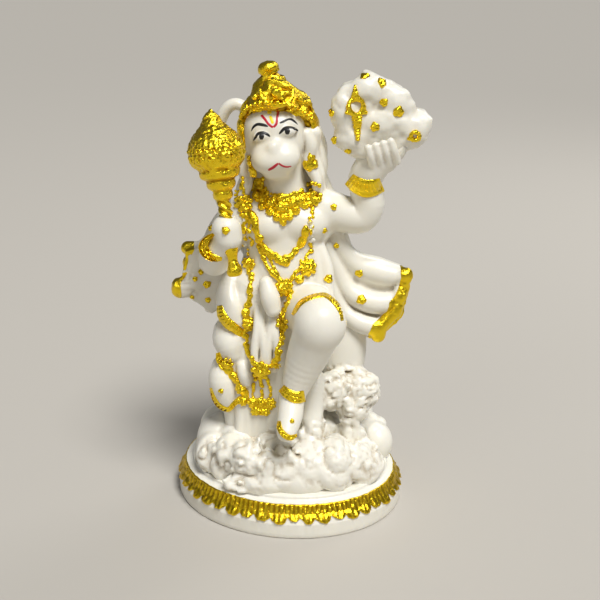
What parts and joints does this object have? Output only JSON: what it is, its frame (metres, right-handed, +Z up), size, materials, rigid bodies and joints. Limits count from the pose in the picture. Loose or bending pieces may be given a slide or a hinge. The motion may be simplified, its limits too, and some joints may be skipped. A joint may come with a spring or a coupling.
{
  "type": "hanuman figure",
  "caption": "Moulded white and gold statuette of a crowned monkey-headed figure with a mace, lifting a mountain, one foot on a rock, on an oval plinth.",
  "frame": {"origin": "centre of the oval plinth's flat underside", "axes": "+Z up the statuette, the figure faces -Y, its raised arm is on +X; the plinth's long axis is turned 16 degrees about Z"},
  "size_m": [0.0854, 0.07, 0.1499],
  "materials": {
    "marble_dust": "satin, with hand-painted gold and a painted face"
  },
  "bodies": {
    "root": {"hanuman_figure": "marble_dust"}
  },
  "joints": []
}
